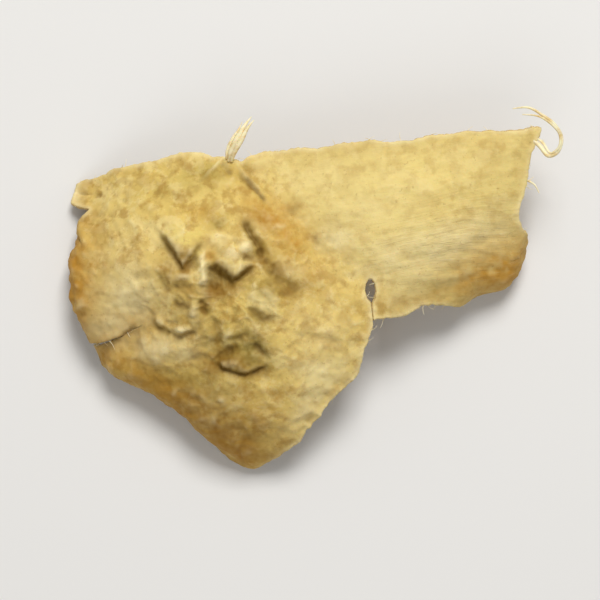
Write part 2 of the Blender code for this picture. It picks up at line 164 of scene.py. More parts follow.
LOW_FOLD = [(-0.4, -1.42), (0.74, -1.47), (1.95, -1.88)]
NOTCH_LINE = [(-2.34, 5.2), (-2.0, 4.74), (-1.62, 4.28), (-1.42, 3.9)]
CREASES = [
    # path, half width, depth, or less than 0 for a raised fold
    (UPPER_CREASE, 0.16, 0.3),
    (LONG_CREASE, 0.28, 0.22),
    ([(-1.6, 0.8), (-1.38, 0.66), (-0.87, 0.29), (-0.3, 0.15)], 0.16, 0.08),
    (BROW, 0.18, 0.11),
    ([(-3.98, 2.1), (-4.0, 1.55), (-3.92, 1.0), (-3.93, 0.45)], 0.2, -0.24),
    ([(-3.58, 1.45), (-3.5, 0.9), (-3.35, 0.35)], 0.26, 0.16),
    (EYE_TOP, 0.16, 0.12),
    (EYE_SIDE, 0.17, 0.13),
    (EYE_BOTTOM, 0.17, 0.12),
    ([(-5.6, -0.9), (-5.3, -0.87), (-4.95, -0.92)], 0.07, 0.06),
    ([(-3.7, -0.6), (-3.4, -1.11), (-3.33, -1.55), (-3.46, -2.1)], 0.2, 0.1),
    (MIDDLE_LINE, 0.12, 0.1),
    ([(-2.6, 0.62), (-1.9, 0.62), (-1.46, 0.36), (-1.09, -0.08), (-0.88, -0.75)], 0.16, -0.12),
    (RIGHT_FOLD, 0.16, 0.14),
    (PIT_ARCH, 0.2, 0.18),
    (PIT_SIDE, 0.18, 0.15),
    (PIT_LIP, 0.13, 0.15),
    ([(-4.7, -2.4), (-4.1, -2.35), (-3.6, -2.45)], 0.14, 0.07),
    (LOW_FOLD, 0.16, 0.08),
    ([(-3.0, 6.1), (-2.54, 5.52), (-2.1, 5.04), (-1.68, 4.56), (-1.32, 4.12)], 0.08, -0.11),
    (NOTCH_LINE, 0.1, 0.12),
    ([(-2.95, 6.1), (-3.25, 5.75), (-3.6, 5.4), (-4.0, 5.05)], 0.08, -0.15),
    ([(-3.35, 6.0), (-3.1, 5.5), (-2.8, 5.0)], 0.16, 0.12),
    ([(-7.9, 3.9), (-6.6, 4.35), (-5.2, 4.55)], 0.22, 0.07),
    ([(-9.6, 4.62), (-8.8, 4.4), (-8.1, 4.45)], 0.09, 0.12),
    ([(-6.9, 0.9), (-6.4, 0.95), (-5.9, 0.8)], 0.2, 0.08),
    ([(2.4, 5.3), (4.4, 5.2), (6.8, 5.6)], 0.3, 0.05),
    ([(3.4, 1.9), (5.2, 1.75), (7.2, 2.3), (8.7, 3.2)], 0.28, 0.09),
    ([(4.2, 1.1), (6.0, 0.95), (7.6, 1.4)], 0.25, -0.08),
]
LUMPS = [
    # x, y, half length, half width, degrees of its length from x, height
    (-2.4, -2.2, 1.3, 0.75, -8, -0.22), (-2.04, -1.7, 0.22, 0.18, 0, 0.16),
    (-1.82, -2.3, 0.34, 0.18, -10, 0.14), (-2.72, -2.46, 0.36, 0.16, 0, 0.1),
    (-2.34, 2.05, 0.34, 0.24, 35, 0.32), (-3.44, 2.42, 0.38, 0.3, 0, 0.16),
    (-2.92, 1.88, 0.42, 0.3, -20, 0.12), (-2.2, 1.72, 0.36, 0.16, -10, -0.16),
    (-4.83, 1.02, 0.38, 0.2, 0, 0.12), (-4.83, 1.62, 0.26, 0.3, 0, -0.14),
    (-3.5, 0.7, 0.3, 0.45, 0, -0.14), (-1.75, 0.2, 0.9, 0.5, -35, 0.14),
    (-4.38, -0.5, 0.22, 0.22, 0, 0.2), (-5.8, -0.84, 0.26, 0.16, -10, 0.14),
    (-4.83, -1.1, 0.34, 0.15, 5, 0.18), (-5.3, -2.0, 1.1, 0.45, 5, 0.16),
    (-0.8, 2.9, 1.2, 0.7, -50, 0.18), (-0.2, 1.9, 0.5, 0.5, 0, 0.12),
    (0.1, 3.1, 3.2, 0.8, -44, -0.26), (-2.35, 5.3, 0.9, 0.4, -70, -0.16),
    (-3.18, -4.02, 0.18, 0.14, 0, 0.1),
]

# Dark marks along the folds, partly the skin's own darker colour and partly painted shadow under the flap
# edges and in the creases: path, half width, strength
FOLD_SHADOWS_AND_STAINS = [
    (LEFT_FLAP[1:6], 0.21, 0.75),
    (LEFT_FLAP[3:], 0.16, 0.60),
    (MIDDLE_FLAP[:6], 0.27, 1.00),
    (MIDDLE_FLAP[3:], 0.20, 0.90),
    (UPPER_CREASE, 0.22, 0.75),
    (LONG_CREASE, 0.36, 0.50),
    (LONG_CREASE[1:4], 0.24, 0.62),
    (BROW, 0.22, 0.38),
    (EYE_TOP, 0.19, 0.50),
    (EYE_SIDE, 0.21, 0.50),
    (EYE_BOTTOM, 0.20, 0.42),
    (MIDDLE_LINE, 0.17, 0.40),
    (RIGHT_FOLD, 0.22, 0.42),
    (PIT_ARCH, 0.30, 0.52),
    (PIT_SIDE, 0.26, 0.55),
    (PIT_LIP, 0.20, 0.78),
    (NOTCH_LINE, 0.15, 0.45),
    (LOW_FOLD, 0.16, 0.22),
]

# Patches of colour on the skin: x, y, half length, half width, degrees from x, strength.
# The golden and brown ones are partly the skin's own colour and partly painted shade, where the
# sheet turns down or lies below a step or flap edge. The pale ones are partly its own paler
# colour and partly painted highlights on raised lobes, ridges and strands.
PATCHES = {
    "golden_and_shade": [
        (-0.8, 2.9, 1.5, 0.9, -50, 0.65), (-2.05, 4.0, 0.45, 0.3, 0, 0.45),
        (-0.65, 3.8, 0.4, 0.35, 0, 0.6), (-1.5, 3.45, 0.6, 0.6, 0, 0.9),
        (-1.12, 3.1, 0.35, 0.35, 0, 0.45), (-0.6, 1.98, 0.35, 0.3, 0, 0.55),
        (-0.15, 2.36, 0.4, 0.4, 0, 0.65), (-3.73, 1.79, 0.22, 0.2, 0, 0.9),
        (-4.1, 3.5, 0.7, 0.3, 0, 0.3), (8.4, 1.2, 2.3, 1.2, 15, 1.0),
        (7.0, 0.4, 2.4, 0.5, 5, 0.5), (-9.6, 1.1, 1.15, 2.8, 0, 1.0),
        (-5.6, -4.1, 3.2, 1.0, -38, 0.7), (-8.0, -2.5, 0.9, 0.5, 0, 0.7),
        (-2.9, -6.2, 2.0, 1.0, -35, 0.8), (-2.2, -4.9, 1.6, 1.0, 0, 0.3),
    ],
    "yellow": [
        (-4.7, 2.45, 0.8, 0.7, 0, 0.85), (-3.9, 3.6, 1.6, 0.7, 0, 0.35),
        (-5.6, 4.7, 2.6, 0.7, 12, 0.25), (3.6, 4.6, 4.2, 1.8, 5, 0.22),
    ],
    "grey": [
        (7.5, 3.0, 1.4, 0.6, 20, 0.6), (-7.4, 1.5, 1.2, 1.8, 0, 0.5),
        (4.1, -0.1, 1.0, 0.6, 0, 0.55), (-4.4, -1.5, 1.1, 0.4, -15, 0.4),
    ],
    "streaky": [(6.2, 2.6, 3.2, 1.3, 12, 1.0), (8.6, 1.6, 1.6, 1.4, 0, 0.5)],
    "brown_and_shade": [
        (-5.15, 1.0, 0.65, 0.5, 0, 0.42), (-5.4, 1.7, 0.65, 0.26, -55, 0.45),
        (-4.74, 1.45, 0.3, 0.48, 0, 0.85), (-5.4, 1.35, 0.46, 0.62, 0, 0.75),
        (-4.55, 0.42, 0.6, 0.4, 0, 0.42), (-3.6, 3.3, 0.6, 0.45, 0, 0.36),
        (-1.6, 3.35, 0.35, 0.55, 0, 0.32), (-3.45, 0.42, 0.6, 0.52, 20, 1.0),
        (-2.95, 0.55, 0.7, 0.36, 0, 0.7), (-1.05, 1.1, 1.3, 0.36, -46, 0.42),
        (-0.6, 0.42, 1.0, 0.38, -10, 0.6), (0.4, 0.45, 0.8, 0.42, -15, 0.42),
        (-2.26, 1.76, 0.36, 0.15, -10, 0.55), (-1.42, -0.74, 0.38, 0.2, -15, 0.45),
        (-4.66, -0.14, 0.46, 0.17, 0, 0.65), (-4.1, -1.15, 0.28, 0.22, 0, 0.45),
        (-2.95, 5.25, 0.55, 0.28, 0, 0.36), (-3.98, -0.26, 0.17, 0.36, 10, 0.55),
        (-3.1, -2.58, 1.2, 0.58, -8, 1.0), (-2.3, -2.98, 1.0, 0.3, 0, 0.7),
        (-2.8, -3.5, 0.8, 0.45, 0, 0.36), (-4.5, -0.55, 0.7, 0.5, 0, 0.36),
        (-3.45, -1.5, 0.35, 0.8, 0, 0.45), (-3.3, -5.0, 2.9, 1.3, -37, 0.74),
        (3.0, 6.3, 6.0, 0.7, 4, 0.12),
    ],
    "pale": [
        (-5.95, -1.9, 1.05, 0.55, 0, 1.0), (-4.9, -2.1, 0.75, 0.36, -8, 0.75),
        (-4.95, 2.5, 0.7, 0.6, 0, 0.2), (-3.45, 5.55, 0.75, 0.07, 46, 0.45),
        (-1.95, 4.75, 1.0, 0.09, -52, 0.6), (-2.3, 2.18, 0.34, 0.26, 35, 1.0),
        (-3.4, 2.4, 0.45, 0.35, 0, 0.55), (-2.9, 1.8, 0.5, 0.3, 0, 0.6),
        (-2.78, 1.36, 0.36, 0.12, 0, 0.7), (-3.93, 1.18, 0.27, 0.9, 3, 0.82),
        (-7.1, -0.1, 1.35, 1.05, 0, 1.0), (-7.85, -1.1, 1.35, 0.85, 12, 1.0),
        (0.5, -4.2, 1.5, 0.5, 48, 0.7), (0.95, -2.8, 1.1, 0.85, 0, 0.7),
        (1.45, 2.5, 0.8, 0.65, 0, 0.8), (-4.38, -0.5, 0.2, 0.2, 0, 0.9),
        (-4.83, -1.1, 0.34, 0.13, 5, 1.0), (-5.8, -0.84, 0.26, 0.14, -10, 0.45),
        (-0.25, 1.25, 0.5, 0.28, 0, 0.45), (-1.6, -0.1, 0.6, 0.24, -35, 0.35),
        (-3.18, -4.02, 0.16, 0.13, 0, 0.9), (5.4, 2.1, 3.0, 1.0, 12, 0.75),
        (2.8, 3.8, 3.0, 1.8, 0, 0.25), (0.8, -1.7, 1.3, 1.6, 0, 0.35),
        (-9.42, 4.4, 0.24, 0.6, 0, 0.9),
    ],
    "olive": [
        (-2.15, -2.25, 0.85, 0.78, 0, 0.95), (-2.75, -2.3, 0.85, 0.45, 15, 0.85),
        (-3.3, 0.5, 0.7, 0.5, 0, 0.6), (-1.5, 0.45, 0.8, 0.45, -20, 0.65),
        (-4.6, -0.55, 0.8, 0.6, 0, 0.35), (-3.3, -1.6, 0.7, 0.7, 0, 0.55),
        (-3.9, 5.15, 1.2, 0.55, 8, 0.52), (-3.36, 3.1, 0.35, 0.22, 0, 0.6),
        (-4.5, 4.6, 1.4, 0.5, 10, 0.3), (-4.4, -3.3, 2.0, 0.5, -10, 0.45),
        (-1.0, 0.3, 0.6, 0.2, -35, 0.4), (-1.7, -0.7, 0.6, 0.3, -35, 0.5),
    ],
}

# Fibres that stand out of the torn edge, as points with a height and a radius
NOTCH_SLIVER = [
    [
        (-2.98, 5.8, 3.0, 0.06), (-2.88, 6.15, 3.22, 0.11), (-2.62, 6.7, 3.4, 0.12),
        (-2.34, 7.18, 3.42, 0.08), (-2.02, 7.62, 3.26, 0.02),
    ],
    [
        (-2.86, 5.78, 3.02, 0.06), (-2.72, 6.15, 3.26, 0.1), (-2.44, 6.64, 3.44, 0.11),
        (-2.2, 7.1, 3.46, 0.07), (-1.92, 7.48, 3.3, 0.02),
    ],
    [
        (-3.06, 5.9, 2.98, 0.05), (-3.02, 6.25, 3.14, 0.07), (-2.8, 6.72, 3.28, 0.07),
        (-2.56, 7.08, 3.28, 0.04), (-2.4, 7.42, 3.18, 0.01),
    ],
]
TIP_LOOP = [
    [
        (9.45, 6.8, 3.55, 0.07), (9.92, 6.4, 3.66, 0.09), (10.27, 5.97, 3.8, 0.08),
        (10.66, 6.14, 3.92, 0.09), (10.82, 6.7, 4.0, 0.07), (10.5, 7.26, 4.05, 0.08),
        (9.98, 7.66, 4.05, 0.06), (9.44, 7.96, 3.95, 0.05), (8.8, 7.92, 3.85, 0.02),
    ],
    [
        (9.6, 6.85, 3.62, 0.05), (10.05, 6.52, 3.7, 0.06), (10.36, 6.08, 3.86, 0.05),
        (10.72, 6.34, 4.02, 0.06), (10.72, 6.86, 4.06, 0.05), (10.34, 7.3, 4.1, 0.05),
        (9.84, 7.6, 4.02, 0.04), (9.2, 7.68, 3.84, 0.02),
    ],
]
RIGHT_HAIR = [(9.4, 5.0, 3.2, 0.05), (9.75, 4.8, 3.22, 0.04), (9.95, 4.45, 3.15, 0.02)]
LOOSE_FIBRES = [*NOTCH_SLIVER, *TIP_LOOP, RIGHT_HAIR]
FRAY_COUNT = 110
FRAY_SEED = 11

# How light goes into the peel: its share, how far red, green and blue go, and the depth in metres
GLOW_SOCKETS = ("Subsurface Weight", "Subsurface Radius", "Subsurface Scale")
FLESH_GLOW = (0.1, (1.0, 0.55, 0.2), 0.0004)
EDGE_GLOW = (0.2, (1.0, 0.6, 0.25), 0.0005)
FIBRE_GLOW = (0.2, (1.0, 0.6, 0.25), 0.0003)

# Depth of the finest relief, in metres
SKIN_BUMP = 0.00006
EDGE_BUMP = 0.00005

# Floor, camera and lights in metres and watts. Each light has its place, side and power.
FLOOR_SIDE = 1.0
LENS = 180
CAMERA_HEIGHT = 0.128
KEY_LIGHT = ((0.03, 0.15, 0.21), 0.1, 0.55)
FILL_LIGHT = ((-0.03, -0.18, 0.2), 0.2, 0.12)
ROOM_LIGHT = 0.27


# Noise and curves


def noise_at(points, length, seed):
    """Smooth noise from -1 to 1 at plan points, with bumps about one length apart."""
    return np.array([noise.noise((x / length, y / length, seed)) for x, y in points])


def noise_through(rows):
    """Smooth noise from -1 to 1 at rows of three numbers, with bumps about 1 apart."""
    return np.array([noise.noise(row) for row in rows.tolist()])


def ridges(values):
    """Turns smooth noise into thin raised ridges from 0 to 1."""
    return np.clip(1 - 3 * np.abs(values), 0, 1)


def lengths(rows):
    """The length of each row."""
    return np.linalg.norm(rows, axis=1)


def unit(rows):
    """Each row, brought to length 1."""
    return rows / lengths(rows)[:, None]


def smooth_step(value, low, high):
    """0 below low, 1 above high, and a smooth rise between."""
    t = np.clip((value - low) / (high - low), 0, 1)
    return t * t * (3 - 2 * t)


def catmull_rom(before, start, end, after, steps):
    """Points from start up to, but not including, end on a curve that passes through both."""
    t = np.linspace(0, 1, steps, endpoint=False)[:, None]
    doubled = (
        2 * start
        + (end - before) * t
        + (2 * before - 5 * start + 4 * end - after) * t**2
        + (3 * start - before - 3 * end + after) * t**3
    )
    return doubled / 2


def smooth_curve(points, steps):
    """A smooth open curve through a few points."""
    points = np.array(points, float)
    rows = []
    for i in range(len(points) - 1):
        before, after = points[max(i - 1, 0)], points[min(i + 2, len(points) - 1)]
        rows.append(catmull_rom(before, points[i], points[i + 1], after, steps))
    return np.concatenate([*rows, points[-1:]])


# The flat sheet


def outline_curve(side):
    """The outline as closely spaced rows of x, y and turn, with its corners kept."""
    outline = np.array(OUTLINE)
    corner = [row[:2] in CORNERS for row in OUTLINE]
    count = len(OUTLINE)
    rows = []
    for i in range(count):
        start, end = outline[i], outline[(i + 1) % count]
        before = start if corner[i] else outline[i - 1]
        after = end if corner[(i + 1) % count] else outline[(i + 2) % count]
        steps = max(1, round(np.linalg.norm((end - start)[:2]) / side))
        rows.append(catmull_rom(before, start, end, after, steps))
    return np.concatenate(rows)


def outward(loop):
    """Unit vectors that point out of a clockwise loop of plan points."""
    along = np.roll(loop, -1, axis=0) - np.roll(loop, 1, axis=0)
    return unit(np.stack([-along[:, 1], along[:, 0]], axis=1))


def sheet_rim(side, ragged):
    """The flat sheet's rim without its tears, and the turn there: the outline, made ragged, with
    spare width where the rim will turn under."""
    curve = outline_curve(side)
    plan, turn = curve[:, :2], curve[:, 2]
    offset = SPARE_PER_DEGREE * turn
    for depth, length, seed in ragged:
        offset = offset + depth * noise_at(plan, length, seed)
    offset = offset * smooth_step(lengths(plan - LEFT_NOTCH), 0, NOTCH_CALM)
    return plan + outward(plan) * offset[:, None], turn


def cut_tears(rim, side):
    """The sheet's whole edge: the rim, with each tear's two sides in place of its mouth."""
    edge = rim
    for tear in TEARS:
        tear = np.array(tear)
        first, last = lengths(edge - tear[0]).argmin(), lengths(edge - tear[-1]).argmin()
        tear[0], tear[-1] = edge[first], edge[last]
        sides = [
            np.linspace(a, b, max(1, round(np.linalg.norm(b - a) / side)), endpoint=False)
            for a, b in zip(tear[:-1], tear[1:])
        ]
        edge = np.concatenate([edge[:first], *sides, edge[last:]])
    return edge


def in_chunks(function, points, *others):
    """Runs a function on a few hundred points at a time, and joins its answers."""
    parts = [function(chunk, *others) for chunk in np.array_split(points, len(points) // 400 + 1)]
    return tuple(np.concatenate(column) for column in zip(*parts))


def goes_round(points, loop):
    """Which plan points a loop goes round."""
    following = np.roll(loop, -1, axis=0)
    x, y = points[:, :1], points[:, 1:]
    spans = (loop[:, 1] > y) != (following[:, 1] > y)
    rise = following[:, 1] - loop[:, 1]
    rise = np.where(rise == 0, 1, rise)
    crossing = loop[:, 0] + (y - loop[:, 1]) * (following[:, 0] - loop[:, 0]) / rise
    return ((spans & (x < crossing)).sum(axis=1) % 2 == 1,)


def is_inside(points, loop):
    """Which of many plan points a loop goes round."""
    return in_chunks(goes_round, points, loop)[0]


def closest(points, starts, runs):
    """For each plan point, the nearest of some straight lines, how far along it, and the gap."""
    offset = points[:, None] - starts
    t = np.clip((offset * runs).sum(axis=2) / (runs**2).sum(axis=1), 0, 1)
    gap = offset - t[:, :, None] * runs
    near = (gap**2).sum(axis=2).argmin(axis=1)
    rows = np.arange(len(points))
    return near, t[rows, near], gap[rows, near]


def nearest_on_rim(points, rim, turn):
    """For each plan point, its distance from the rim, the way out, and the rim's turn there."""
    out = outward(rim)
    out_next, turn_next = np.roll(out, -1, axis=0), np.roll(turn, -1)
    near, t, gap = closest(points, rim, np.roll(rim, -1, axis=0) - rim)
    way = unit(out[near] * (1 - t)[:, None] + out_next[near] * t[:, None])
    return lengths(gap), way, turn[near] * (1 - t) + turn_next[near] * t


def distance_to(points, others):
    """Distance from each plan point to the nearest of some others."""
    tree = kdtree.KDTree(len(others))
    for i, (x, y) in enumerate(others):
        tree.insert((x, y, 0), i)
    tree.balance()
    return np.array([tree.find((x, y, 0))[2] for x, y in points])


def grid_rows(low, high, side):
    """Plan points one side apart, in rows that are shifted so that they make even triangles."""
    rows = []
    for j, y in enumerate(np.arange(low[1], high[1], side * math.sqrt(0.75))):
        x = np.arange(low[0] + (j % 2) * side / 2, high[0], side)
        rows.append(np.stack([x, np.full_like(x, y)], axis=1))
    return np.concatenate(rows)


def skin_points(low, high):
    """Plan points for the skin, closer together at the bud scar."""
    plain, fine = grid_rows(low, high, SKIN_MESH_SIDE), grid_rows(low, high, SCAR_MESH_SIDE)
    near = lengths(fine - SCAR) < SCAR_REACH
    far = lengths(plain - SCAR) > SCAR_REACH + 0.5 * SKIN_MESH_SIDE
    return np.concatenate([fine[near], plain[far]])


def fill(edge, points):
    """Plan points and triangles that fill the edge. The edge's own points come first."""
    points = points[is_inside(points, edge)]
    points = np.concatenate([edge, points[distance_to(points, edge) > EDGE_CLEARANCE]])
    count = len(edge)
    ring = [(i, (i + 1) % count) for i in range(count)]
    made = delaunay_2d_cdt([tuple(p) for p in points], ring, [], 1, 1e-6)
    return np.array([tuple(p) for p in made[0]]), np.array(made[2])


# The sheet in space


def bending(squared):
    """The kernel of a thin plate spline, from squared distances."""
    return squared * np.log(squared + 1e-9)


def height_surface():
    """A function that gives the smooth height through every row of HEIGHTS at plan points."""
    rows = np.array(HEIGHTS)
    centres, heights = rows[:, :2], rows[:, 2]
    count = len(rows)
    gaps = ((centres[:, None] - centres[None]) ** 2).sum(axis=2)
    flat = np.concatenate([np.ones((count, 1)), centres], axis=1)
    system = np.block([[bending(gaps), flat], [flat.T, np.zeros((3, 3))]])
    weights = np.linalg.solve(system, np.concatenate([heights, np.zeros(3)]))

    def height(points):
        gaps = ((points[:, None] - centres[None]) ** 2).sum(axis=2)
        level = weights[count] + points @ weights[count + 1 :]
        return bending(gaps) @ weights[:count] + level

    return height


def lay_out(points, rim, turn):
    """Places plan points in space on the middle of the sheet, with its rim turned under, and
    gives the turn of the rim nearest to each."""
    height = height_surface()
    distance, way, degrees = in_chunks(nearest_on_rim, points, rim, turn)
    distance = np.where(is_inside(points, rim), distance, -distance)
    width = np.maximum(ROLL_WIDTH * smooth_step(degrees, 0, FULL_WIDTH_TURN), 1e-6)
    past = np.clip(width - distance, 0, None)
    base = points - way * past[:, None]
    small = 0.01
    level = height(base)
    slope_x = (height(base + (small, 0)) - level) / small
    slope_y = (height(base + (0, small)) - level) / small
    along = np.column_stack([way, slope_x * way[:, 0] + slope_y * way[:, 1]])
    normal = unit(np.column_stack([-slope_x, -slope_y, np.ones(len(points))]))
    normal *= lengths(along)[:, None]
    angle = np.maximum(np.radians(degrees) * np.minimum(past / width, MOST_TURN), 1e-6)
    forward, down = np.sin(angle) / angle, (1 - np.cos(angle)) / angle
    turned = along * (forward * past)[:, None] - normal * (down * past)[:, None]
    return np.column_stack([base, level]) + turned, degrees


def vertex_normals(points, triangles):
    """Unit normals of the laid-out sheet at its points."""
    corners = points[triangles]
    face = np.cross(corners[:, 1] - corners[:, 0], corners[:, 2] - corners[:, 0])
    normal = np.zeros_like(points)
    for k in range(3):
        np.add.at(normal, triangles[:, k], face)
    return unit(normal)


def set_down(points):
    """Tilts and lowers the flake onto the surface that it lies on."""
    placed = points.copy()
    placed[:, 2] += points[:, 0] * TILT_X + points[:, 1] * TILT_Y + LIFT
    placed[:, 2] = np.maximum(placed[:, 2], 0)
    return placed


# The relief of the skin


def near_path(points, path):
    """Distance to a chain of straight lines, less than 0 on its right, and how far along it."""
    path = np.array(path, float)
    run = path[1:] - path[:-1]
    length = lengths(run)
    left = unit(np.stack([-run[:, 1], run[:, 0]], axis=1))
    start = np.concatenate([[0], np.cumsum(length)])
    near, t, gap = closest(points, path[:-1], run)
    last = len(run) - 1
    beside = np.where(t >= 1, np.minimum(near + 1, last), near)
    beside = np.where(t <= 0, np.maximum(near - 1, 0), beside)
    side = (gap * (left[near] + left[beside])).sum(axis=1)
    along = (start[near] + t * length[near]) / start[-1]
    return lengths(gap) * np.where(side < 0, -1, 1), along


def fade_at_ends(along, share):
    """1 in the middle of a path, falling to 0 over a share of it at each end."""
    return smooth_step(along, 0, share) * smooth_step(1 - along, 0, share)


def mound(points, x, y, long, short, degrees, soft=0):
    """A long round mound of height 1, or less where it is blurred by soft."""
    turn = math.radians(degrees)
    away = points - (x, y)
    lengthwise = (away @ (math.cos(turn), math.sin(turn))) / math.hypot(long, soft)
    across = (away @ (-math.sin(turn), math.cos(turn))) / math.hypot(short, soft)
    share = long * short / (math.hypot(long, soft) * math.hypot(short, soft))
    return share * np.exp(-(lengthwise**2) - across**2)


def wobble(points):
    """How far the folds of the scar wander from their plain paths at plan points."""
    shifts = []
    for seed in (51.3, 57.3):
        shifts.append(0.07 * noise_at(points, 0.50, seed) + 0.035 * noise_at(points, 0.19, seed + 1))
    return np.column_stack(shifts)


def broad_relief(points):
    """The folds that run out from the scar, and the waves, dents and wrinkles of the sheet."""
    spoke = points - SCAR
    radius = lengths(spoke)
    folds = noise_at(spoke / (radius[:, None] + 0.3), 0.42, 1.3) * np.exp(-(((radius - 3.2) / 1.8) ** 2))
    waves = noise_at(points * (0.35, 1.0), 1.5, 6.1) * smooth_step(points[:, 0], 0.5, 3.0)
    dents = noise_at(points, 2.4, 9.2)
    wrinkles = noise_at(points * (0.45, 1.0), 0.85, 2.2)
    return 0.22 * folds + 0.07 * waves + 0.10 * dents + 0.04 * wrinkles


def main_relief(points, soft):
    """The steps, creases, lumps and folds of the skin, with details blurred by soft."""
    points = points + wobble(points)
    total = broad_relief(points)
    for path, rise, reach_up, reach_down in STEPS:
        gap, along = near_path(points, path)
        fall = np.where(gap > 0, np.exp(-gap / reach_up), np.exp(gap / reach_down))
        total += rise / 2 * np.tanh(gap / math.hypot(LIP_WIDTH, soft)) * fall * fade_at_ends(along, 0.30)
    for path, width, depth in CREASES:
        gap, along = near_path(points, path)
        wide = math.hypot(width, soft)
        total -= depth * width / wide * np.exp(-((gap / wide) ** 2)) * fade_at_ends(along, 0.25)
    for *place, rise in LUMPS:
        total += rise * mound(points, *place, soft)
    return total


def wing_share(points):
    """1 on the wing and 0 on the cap."""
    return smooth_step((points - UPPER_NOTCH) @ WING_WAY, -0.6, 1.2)


def wing_grain(points):
    """Rows of how far along and across the wing's fibres each plan point is."""
    turn = math.radians(FIBRE_DEGREES)
    along = points @ (math.cos(turn), math.sin(turn))
    across = points @ (-math.sin(turn), math.cos(turn))
    across = across + 0.22 * noise_at(points, 2.3, 12.5)
    return np.column_stack([along, across, np.full(len(points), 0.5)])


def cap_grain(points):
    """Rows of two numbers that give the direction from the scar, and the distance from it."""
    spoke = points - SCAR
    radius = lengths(spoke) + 0.25 * noise_at(points, 1.9, 14.5)
    return np.column_stack([spoke / (radius[:, None] + 0.2), radius])


def fine_relief(points):
    """The fine wrinkles of the skin."""
    wing, streaky = wing_share(points), patch(points, "streaky")
    along_wing, round_scar = wing_grain(points), cap_grain(points)
    radius = round_scar[:, 2]
    striae = noise_through(along_wing * (0.50, 4.2, 1)) * 0.024
    striae += noise_through(along_wing * (0.90, 9.0, 1)) * 0.014
    striae += ridges(noise_through(along_wing * (0.40, 1.9, 1) + (0, 0, 7))) * 0.030
    rings = noise_through(round_scar * (2.6, 2.6, 2.6)) * 0.020
    near_scar = np.exp(-(((radius - 1.4) / 1.6) ** 2))
    puckers = ridges(noise_through(round_scar * (3.4, 3.4, 0.7))) * 0.045 * near_scar
    puckers += ridges(noise_at(points, 0.55, 21.3)) * 0.050 * near_scar
    crinkles = ridges(noise_at(points, 1.30, 17.7)) * 0.030 + ridges(noise_at(points, 0.66, 18.7)) * 0.022
    grains = noise_at(points, 0.30, 19.7) * 0.018 + noise_at(points, 0.17, 20.7) * 0.013
    rough = noise_at(points, 0.40, 23.1) * 0.08 * patch(points, "golden_and_shade")
    on_wing = striae * (0.3 + 0.7 * streaky) + 0.7 * (crinkles + grains)
    on_cap = rings + 1.6 * (crinkles + grains)
    return on_wing * wing + on_cap * (1 - wing) + puckers + rough


def flesh_relief(points):
    """How far the ribs and lumps of dried flesh stand out of the inner side."""
    ribs = noise_at(points * (0.5, 1.0), 1.4, 4.4)
    lumps = noise_at(points, 1.3, 8.8)
    middle = np.exp(-((lengths(points - SCAR) / 4.5) ** 2))
    strands = inner_strands(points)
    crumbs = noise_at(points, 0.28, 31.7)
    return 0.08 * (ribs + 1) + middle * (0.08 + 0.12 * lumps) + 0.07 * strands + 0.035 * crumbs


def inner_strands(points):
    """The fibres that run through the dried flesh, as ridges from 0 to 1."""
    along_wing = wing_grain(points)
    return np.maximum(
        ridges(noise_through(along_wing * (0.22, 1.3, 1) + (0, 0, 3))),
        0.8 * ridges(noise_through(along_wing * (0.5, 2.3, 1) + (0, 0, 9))),
    )


def edge_curl(points, from_edge):
    """How far the torn edge curls up or down."""
    return np.exp(-from_edge / 0.35) * (0.03 + 0.08 * noise_at(points, 1.4, 33.1))


def half_thickness(from_edge):
    """Half the sheet's thickness, which grows away from the torn edge."""
    grown = smooth_step(from_edge, 0, THINNING_WIDTH)
    return (EDGE_THICKNESS + (MIDDLE_THICKNESS - EDGE_THICKNESS) * grown) / 2


def skin_height(points, from_edge):
    """How far the skin stands above the middle of the sheet."""
    folds = main_relief(points, SKIN_BLUR) + fine_relief(points)
    return half_thickness(from_edge) + folds + edge_curl(points, from_edge)


def inner_height(points, from_edge):
    """How far the inner side stands above the middle of the sheet, kept clear of the skin."""
    flesh = flesh_relief(points) * smooth_step(from_edge, 0, 0.8)
    folds = main_relief(points, INNER_BLUR)
    plain = folds + edge_curl(points, from_edge) - half_thickness(from_edge) - flesh
    highest = skin_height(points, from_edge) - LEAST_THICKNESS
    soft = 0.05
    return highest - soft * np.logaddexp(0, (highest - plain) / soft)


# What the materials read at each point of the skin


def patch(points, name):
    """How strongly one of the colour patches shows, from 0 to 1, with uneven borders."""
    total = np.zeros(len(points))
    for *place, strength in PATCHES[name]:
        total = np.maximum(total, strength * mound(points, *place))
    uneven = 1 + 0.55 * noise_at(points, 0.45, 27.3) + 0.35 * noise_at(points, 0.16, 28.3)
    return np.clip(total * uneven, 0, 1)


def fold_shadows_and_stains(points):
    """How dark the skin is along the folds of the scar, from 0 to 1: partly its own darker colour, partly
    painted shadow under the flap edges and in the creases.
    """
    points = points + wobble(points)
    total = np.zeros(len(points))
    for path, width, strength in FOLD_SHADOWS_AND_STAINS:
        gap, along = near_path(points, path)
        total = np.maximum(total, strength * np.exp(-((gap / width) ** 2)) * fade_at_ends(along, 0.2))
    return np.clip(total * (1 + 0.5 * noise_at(points, 0.20, 29.3)), 0, 1)


def blurred(values, triangles, rounds):
    """Values at the points of a mesh, averaged with their neighbours a number of times."""
    start, end = np.concatenate([triangles[:, [0, 1]], triangles[:, [1, 2]], triangles[:, [2, 0]]]).T
    size = len(values)
    count = np.bincount(start, minlength=size) + np.bincount(end, minlength=size)
    for _ in range(rounds):
        around = np.bincount(start, values[end], size) + np.bincount(end, values[start], size)
        values = (values + around / count) / 2
    return values


